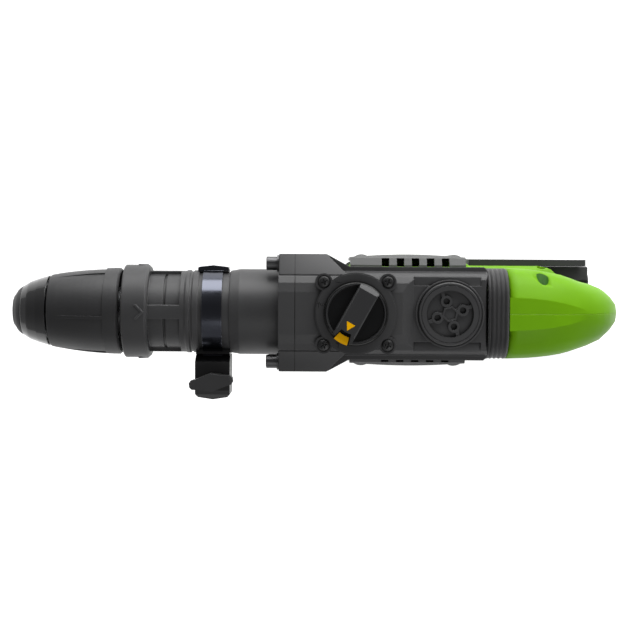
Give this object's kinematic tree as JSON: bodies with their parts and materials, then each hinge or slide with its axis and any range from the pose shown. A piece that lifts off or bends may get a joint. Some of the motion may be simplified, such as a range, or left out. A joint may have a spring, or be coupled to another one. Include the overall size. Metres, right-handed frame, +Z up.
{
  "type": "cordless rotary hammer",
  "caption": "Cordless rotary hammer with an 18 mm slotted-shank chuck, upright motor, sprung D-handle, mode selector and side handle clamp.",
  "frame": {"origin": "on the spindle axis, at the spindle's front face where the tool bore opens", "axes": "+X forward along the spindle and out of the tool bore, +Z up, +Y to the tool's left"},
  "size_m": [0.467, 0.1096, 0.2944],
  "materials": {
    "cap_rubber": "moulded rubber, dull",
    "cone_plastic": "glossy black nylon",
    "sleeve_plastic": "fine-grained charcoal nylon",
    "cast_black": "die-cast, charcoal powder coat",
    "green_nylon": "moulded green glass-filled nylon",
    "black_nylon": "moulded black glass-filled nylon",
    "grey_overmould": "moulded grey overmould",
    "ground_steel": "turned and ground",
    "black_steel": "blackened",
    "piston_alloy": "turned",
    "lamination": "stacked laminations",
    "copper_wire": "enamelled wire",
    "signal_yellow": "moulded yellow-orange acetal",
    "circuit_board": "lacquered board",
    "cell_wrap": "shrink wrap"
  },
  "bodies": {
    "housing": {"front_housing": "cast_black", "housing_bolts": "black_steel", "gear_housing": "cast_black", "selector_plate": "cast_black", "selector_screws": "black_steel", "crank_cap": "cast_black", "crank_cap_seal": "cap_rubber", "spindle_bearings": "ground_steel", "spindle_seal": "cap_rubber", "piston": "piston_alloy", "piston_pin": "ground_steel", "connecting_rod": "ground_steel", "crankshaft": "ground_steel", "shaft_bearings": "ground_steel", "rotor_bearings": "ground_steel", "stator": "lamination", "windings": "copper_wire", "motor_end_plate": "piston_alloy", "motor_housing": "green_nylon", "bumper_left": "grey_overmould", "bumper_right": "grey_overmould", "motor_base": "grey_overmould", "base_screws": "black_steel", "controller_board": "circuit_board", "battery_foot": "green_nylon", "bellows": "cap_rubber", "handle_pivot_pin": "ground_steel", "handle_springs": "ground_steel"},
    "spindle": {"spindle": "ground_steel", "ring_gear": "ground_steel", "dust_cap": "cap_rubber", "nose_cone": "cone_plastic", "sleeve_spring": "ground_steel"},
    "sleeve": {"chuck_sleeve": "sleeve_plastic", "lock_ring": "ground_steel"},
    "roller_left": {"lock_roller_left": "ground_steel"},
    "roller_right": {"lock_roller_right": "ground_steel"},
    "impact_bolt": {"impact_bolt": "black_steel"},
    "striker": {"striker": "black_steel"},
    "crank_gear": {"crank_gear": "ground_steel"},
    "bevel_shaft": {"bevel_shaft": "ground_steel", "bevel_shaft_gear": "ground_steel"},
    "rotor": {"rotor": "lamination", "fan": "black_nylon"},
    "selector": {"selector_knob": "black_nylon", "selector_pointer": "signal_yellow"},
    "selector_button": {"selector_button": "signal_yellow"},
    "handle": {"handle_shell_left": "green_nylon", "handle_shell_right": "green_nylon", "handle_screws": "black_steel", "trigger_switch": "black_nylon"},
    "trigger": {"trigger": "sleeve_plastic"},
    "battery": {"battery_case": "black_nylon", "battery_cells": "cell_wrap"},
    "latch_left": {"battery_latch_left": "black_nylon"},
    "latch_right": {"battery_latch_right": "black_nylon"},
    "clamp": {"clamp_band": "black_steel", "clamp_block": "black_nylon", "grip_insert": "ground_steel"},
    "wing_screw": {"wing_screw": "sleeve_plastic"}
  },
  "joints": [
    {"name": "rotor_spin", "type": "hinge", "parent": "housing", "child": "rotor", "pos_m": [-0.2905, 0, -0.12], "axis": [0, 0, 1], "continuous": true},
    {"name": "crank_gear_spin", "type": "hinge", "parent": "housing", "child": "crank_gear", "pos_m": [-0.318, 0, -0.05], "axis": [0, 0, 1], "continuous": true},
    {"name": "bevel_shaft_spin", "type": "hinge", "parent": "housing", "child": "bevel_shaft", "pos_m": [-0.263, 0, -0.045], "axis": [0, 0, 1], "continuous": true},
    {"name": "spindle_spin", "type": "hinge", "parent": "housing", "child": "spindle", "pos_m": [-0.1, 0, 0], "axis": [1, 0, 0], "continuous": true},
    {"name": "sleeve_slide", "type": "slide", "parent": "spindle", "child": "sleeve", "axis": [-1, 0, 0], "range_m": [0, 0.008], "stiffness_N_per_m": 1500, "springref_m": -0.004, "deforming": ["sleeve_spring"]},
    {"name": "lock_roller_left_drop", "type": "slide", "parent": "spindle", "child": "roller_left", "axis": [0, -1, 0], "range_m": [0, 0.0022]},
    {"name": "lock_roller_right_drop", "type": "slide", "parent": "spindle", "child": "roller_right", "axis": [0, 1, 0], "range_m": [0, 0.0022]},
    {"name": "impact_bolt_slide", "type": "slide", "parent": "spindle", "child": "impact_bolt", "axis": [1, 0, 0], "range_m": [0, 0.004]},
    {"name": "striker_slide", "type": "slide", "parent": "spindle", "child": "striker", "axis": [1, 0, 0], "range_m": [-0.026, 0.002]},
    {"name": "selector_turn", "type": "hinge", "parent": "housing", "child": "selector", "pos_m": [-0.25, 0, 0.045], "axis": [0, 0, 1], "range_deg": [-122, 0]},
    {"name": "selector_button_push", "type": "slide", "parent": "selector", "child": "selector_button", "axis": [-0.4848, -0.8746, 0], "range_m": [0, 0.002], "stiffness_N_per_m": 600, "springref_m": -0.002},
    {"name": "handle_tilt", "type": "hinge", "parent": "housing", "child": "handle", "pos_m": [-0.4145, 0, -0.155], "axis": [0, 1, 0], "range_deg": [0, 1.6], "stiffness_Nm_per_rad": 450, "springref_deg": -1.15, "deforming": ["bellows", "handle_springs"]},
    {"name": "trigger_pull", "type": "slide", "parent": "handle", "child": "trigger", "axis": [-1, 0, 0], "range_m": [0, 0.006], "stiffness_N_per_m": 900, "springref_m": -0.003},
    {"name": "battery_slide", "type": "slide", "parent": "housing", "child": "battery", "axis": [-1, 0, 0], "range_m": [0, 0.07]},
    {"name": "latch_left_press", "type": "slide", "parent": "battery", "child": "latch_left", "axis": [0, -1, 0], "range_m": [0, 0.003], "stiffness_N_per_m": 700, "springref_m": -0.002},
    {"name": "latch_right_press", "type": "slide", "parent": "battery", "child": "latch_right", "axis": [0, 1, 0], "range_m": [0, 0.003], "stiffness_N_per_m": 700, "springref_m": -0.002},
    {"name": "clamp_turn", "type": "hinge", "parent": "housing", "child": "clamp", "pos_m": [-0.14525, 0, 0], "axis": [1, 0, 0], "continuous": true},
    {"name": "wing_screw_turn", "type": "hinge", "parent": "clamp", "child": "wing_screw", "pos_m": [-0.14525, 0.051, 0.02], "axis": [0, 0, 1], "continuous": true}
  ],
  "couplings": [
    {"joint": "crank_gear_spin", "follows": "rotor_spin", "ratio": -0.22222},
    {"joint": "bevel_shaft_spin", "follows": "rotor_spin", "ratio": -0.22222},
    {"joint": "spindle_spin", "follows": "rotor_spin", "ratio": -0.088889}
  ]
}
